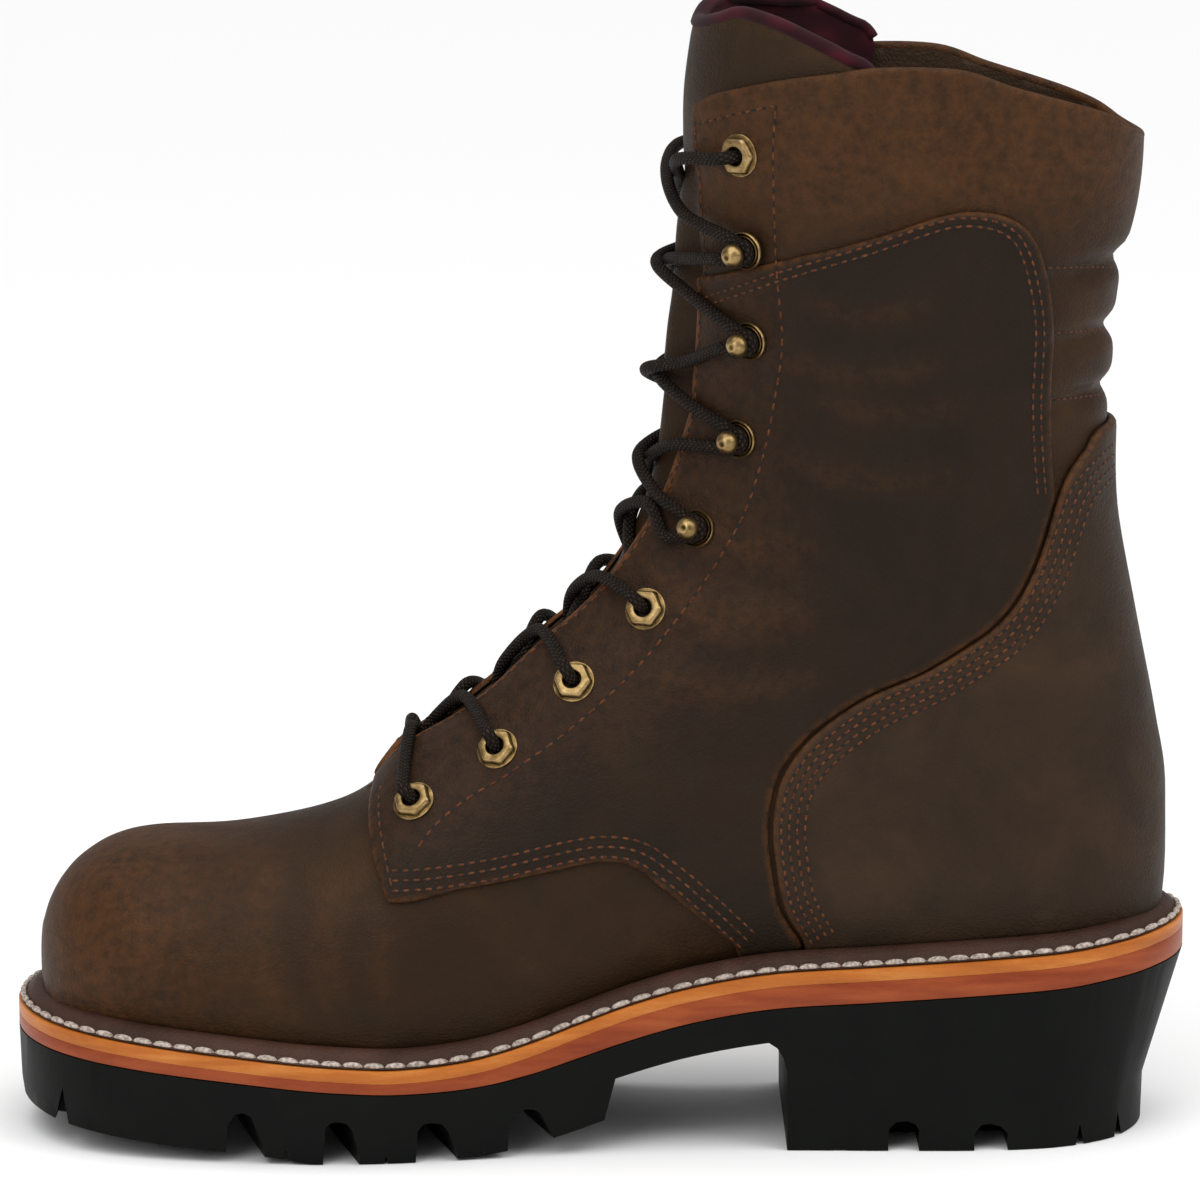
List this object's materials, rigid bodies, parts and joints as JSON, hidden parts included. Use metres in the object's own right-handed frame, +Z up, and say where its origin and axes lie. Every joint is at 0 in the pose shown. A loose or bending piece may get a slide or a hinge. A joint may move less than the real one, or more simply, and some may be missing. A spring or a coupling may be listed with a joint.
{
  "type": "logger boot",
  "caption": "Left lace-up logger boot with high heel, lugged rubber sole, leather midsoles, tall padded collar, eyelets and speed hooks.",
  "frame": {"origin": "centre of the heel tread on the floor", "axes": "toe towards -X, heel towards +X, outer side of the left foot towards -Y, +Z up through the collar"},
  "size_m": [0.3144, 0.1105, 0.3005],
  "materials": {
    "outsole": "black moulded rubber, matt",
    "midsole_lower": "reddish brown edge-trimmed leather, satin",
    "midsole_upper": "tan edge-trimmed leather, satin",
    "welt": "dark brown leather, satin",
    "insole": "burgundy lining cloth over board",
    "upper": "dark brown oiled full-grain leather",
    "quarter_outer": "dark brown oiled full-grain leather",
    "quarter_inner": "dark brown oiled full-grain leather",
    "counter": "dark brown oiled full-grain leather",
    "tongue": "dark brown leather with burgundy lining",
    "antique_brass": "antique brass plating",
    "lace": "round braided polyester cord"
  },
  "bodies": {
    "root": {"outsole": "outsole", "midsole_lower": "midsole_lower", "midsole_upper": "midsole_upper", "welt": "welt", "insole": "insole", "upper": "upper", "quarter_outer": "quarter_outer", "quarter_inner": "quarter_inner", "counter": "counter", "tongue": "tongue", "eyelet_outer_1": "antique_brass", "eyelet_outer_2": "antique_brass", "eyelet_outer_3": "antique_brass", "eyelet_outer_4": "antique_brass", "eyelet_outer_5": "antique_brass", "eyelet_inner_1": "antique_brass", "eyelet_inner_2": "antique_brass", "eyelet_inner_3": "antique_brass", "eyelet_inner_4": "antique_brass", "eyelet_inner_5": "antique_brass", "hook_outer_1": "antique_brass", "hook_outer_2": "antique_brass", "hook_outer_3": "antique_brass", "hook_outer_4": "antique_brass", "hook_inner_1": "antique_brass", "hook_inner_2": "antique_brass", "hook_inner_3": "antique_brass", "hook_inner_4": "antique_brass", "lace_bar": "lace", "lace_cross_1": "lace", "lace_cross_2": "lace", "lace_cross_3": "lace", "lace_cross_4": "lace", "lace_cross_5": "lace", "lace_cross_6": "lace", "lace_cross_7": "lace", "lace_cross_8": "lace"}
  },
  "joints": []
}
